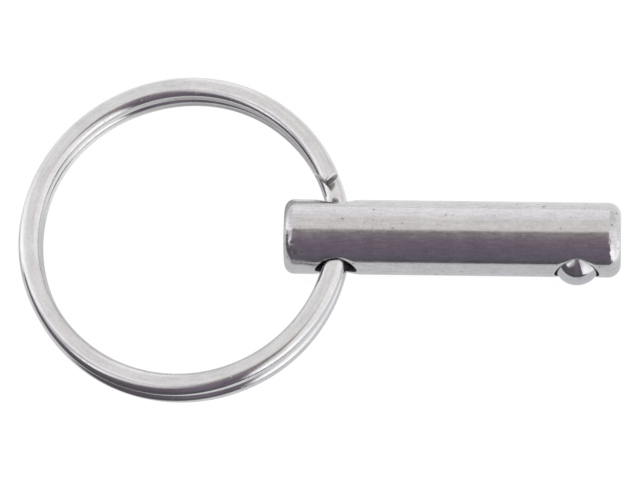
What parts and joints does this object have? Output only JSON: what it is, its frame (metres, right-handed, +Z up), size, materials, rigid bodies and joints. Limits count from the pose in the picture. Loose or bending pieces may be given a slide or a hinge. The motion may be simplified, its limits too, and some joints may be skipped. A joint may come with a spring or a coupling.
{
  "type": "ring locking pin",
  "caption": "Quick-release locking pin: a plain round shank with a spring-loaded ball near its tip and a split key ring through a cross hole in its head.",
  "frame": {"origin": "on the shank's axis, at the centre of the cross hole that the ring runs through", "axes": "+X along the shank to its tip, +Z up as the part lies on a flat surface, with the ball looking towards -Y"},
  "size_m": [0.0514, 0.0284, 0.0064],
  "materials": {
    "shank_steel": "bright turned steel, lightly tumbled, with faint lengthwise streaks",
    "spring_steel": "drawn spring wire",
    "ball_steel": "ground and polished bearing ball",
    "ring_steel": "bright nickel-plated flattened spring wire"
  },
  "bodies": {
    "pin": {"shank": "shank_steel", "detent_spring": "spring_steel"},
    "ball": {"detent_ball": "ball_steel"},
    "ring": {"split_ring": "ring_steel"}
  },
  "joints": [
    {"name": "ring_swing", "type": "hinge", "parent": "pin", "child": "ring", "pos_m": [0, 0, 0], "axis": [0, 1, 0], "continuous": true},
    {"name": "ball_slide", "type": "slide", "parent": "pin", "child": "ball", "axis": [0, -1, 0], "range_m": [-0.00078, 0], "stiffness_N_per_m": 3400, "springref_m": 0.0005, "deforming": ["detent_spring"]}
  ]
}
